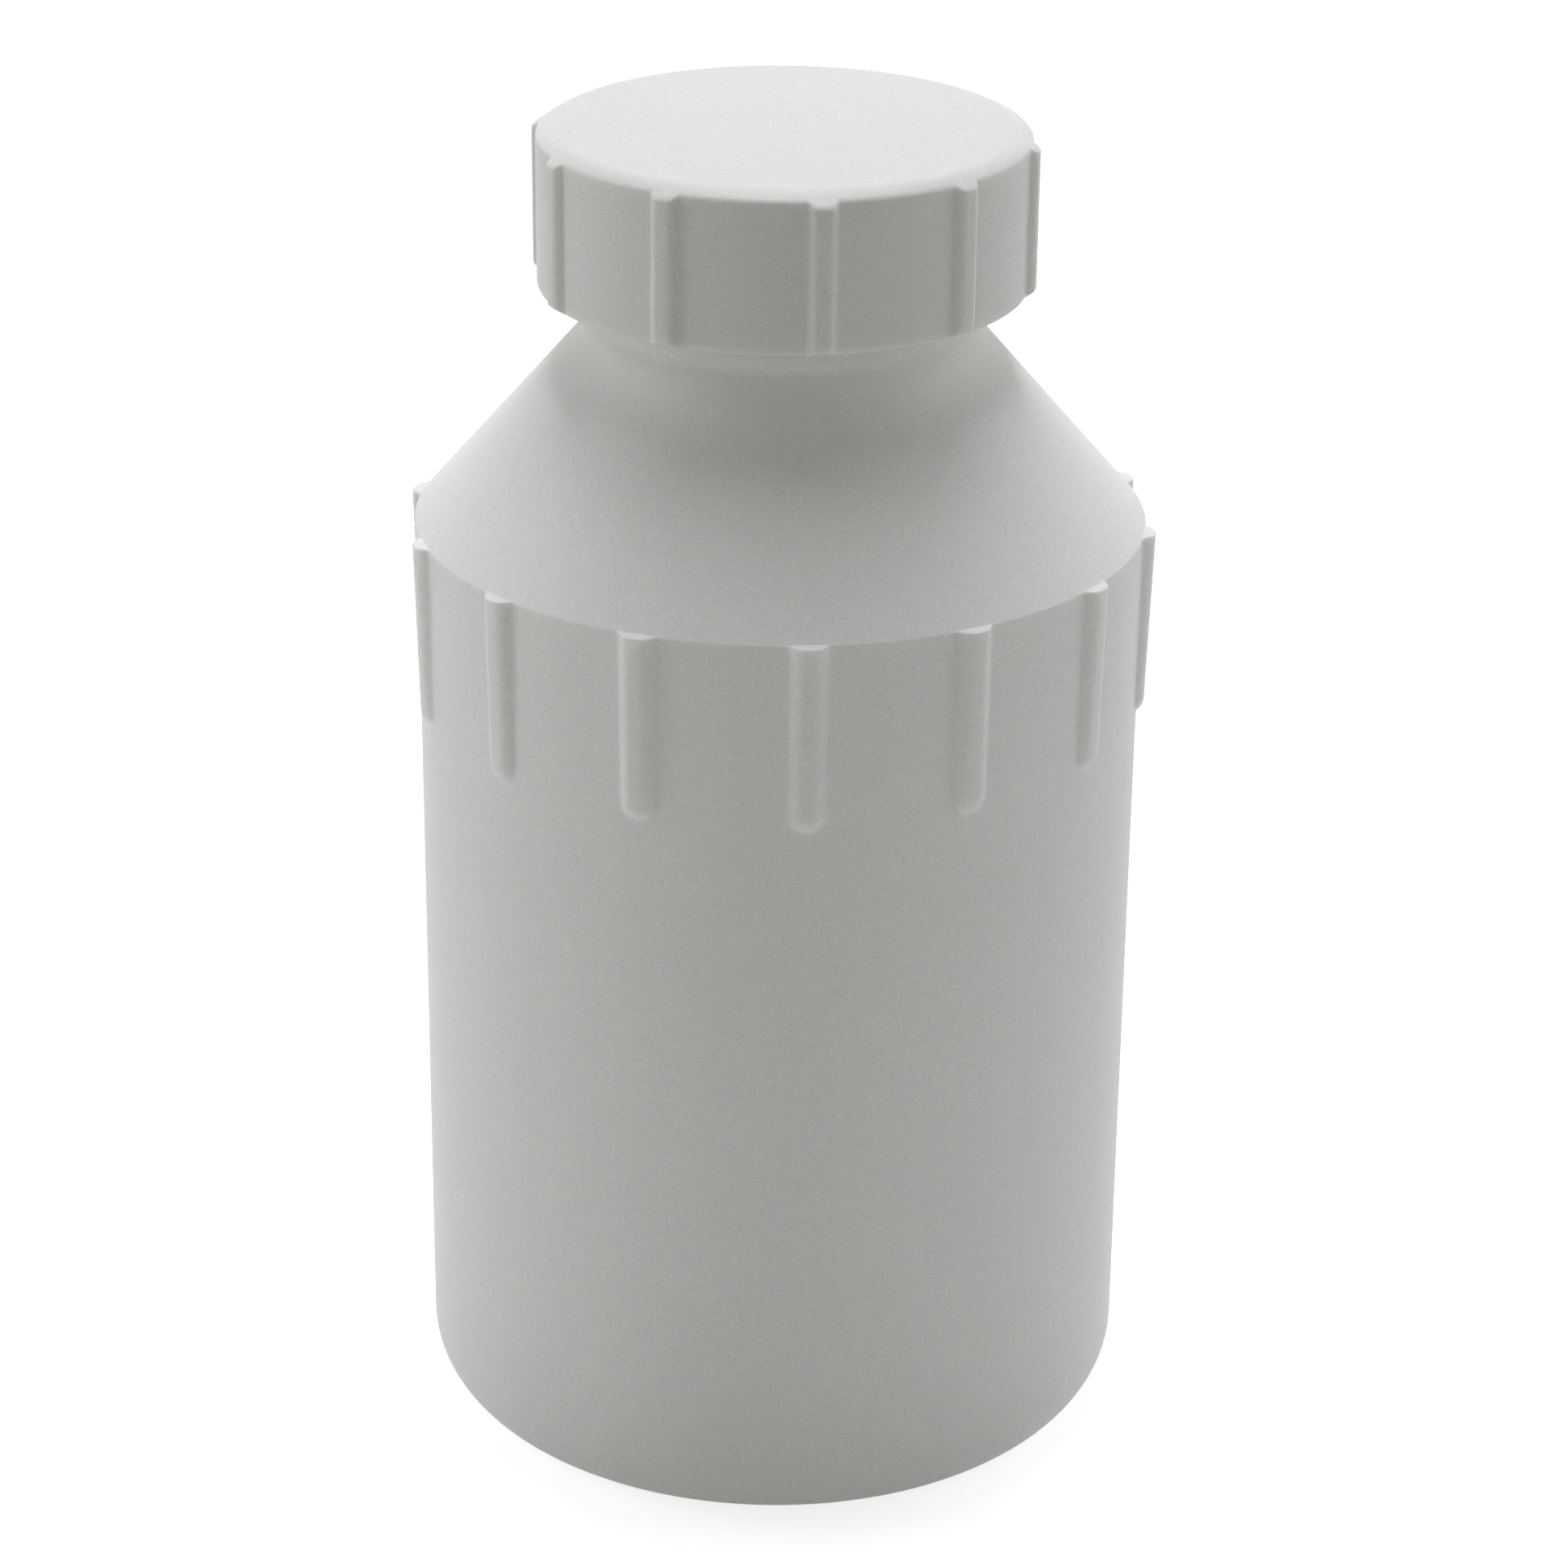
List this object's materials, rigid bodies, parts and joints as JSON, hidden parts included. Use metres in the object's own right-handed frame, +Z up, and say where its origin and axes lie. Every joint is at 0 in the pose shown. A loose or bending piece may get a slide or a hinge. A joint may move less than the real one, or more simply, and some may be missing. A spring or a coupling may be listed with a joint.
{
  "type": "wide-mouth bottle",
  "caption": "Thick-walled round laboratory bottle with ribs below the shoulder, a wide threaded neck and a ribbed screw cap that unscrews and lifts off.",
  "frame": {"origin": "centre of the base, on the plane that the bottle stands on", "axes": "+Z up along the bottle's axis, towards the cap; -Y towards the viewer"},
  "size_m": [0.1062, 0.107, 0.1948],
  "materials": {
    "bottle_polymer": "matte white fluoropolymer with a fine moulded grain",
    "cap_polymer": "matte white fluoropolymer with a fine moulded grain",
    "disc_polymer": "smooth white fluoropolymer"
  },
  "bodies": {
    "bottle": {"bottle": "bottle_polymer"},
    "seal": {"sealing_disc": "disc_polymer"},
    "cap": {"screw_cap": "cap_polymer"}
  },
  "joints": [
    {"name": "cap_lift", "type": "slide", "parent": "bottle", "child": "seal", "axis": [0, 0, 1], "range_m": [0, 0.02]},
    {"name": "cap_turn", "type": "hinge", "parent": "seal", "child": "cap", "pos_m": [0, 0, 0.184], "axis": [0, 0, 1], "range_deg": [0, 1440]}
  ],
  "couplings": [
    {"joint": "cap_lift", "follows": "cap_turn", "m_per_rad": 0.00079577}
  ]
}
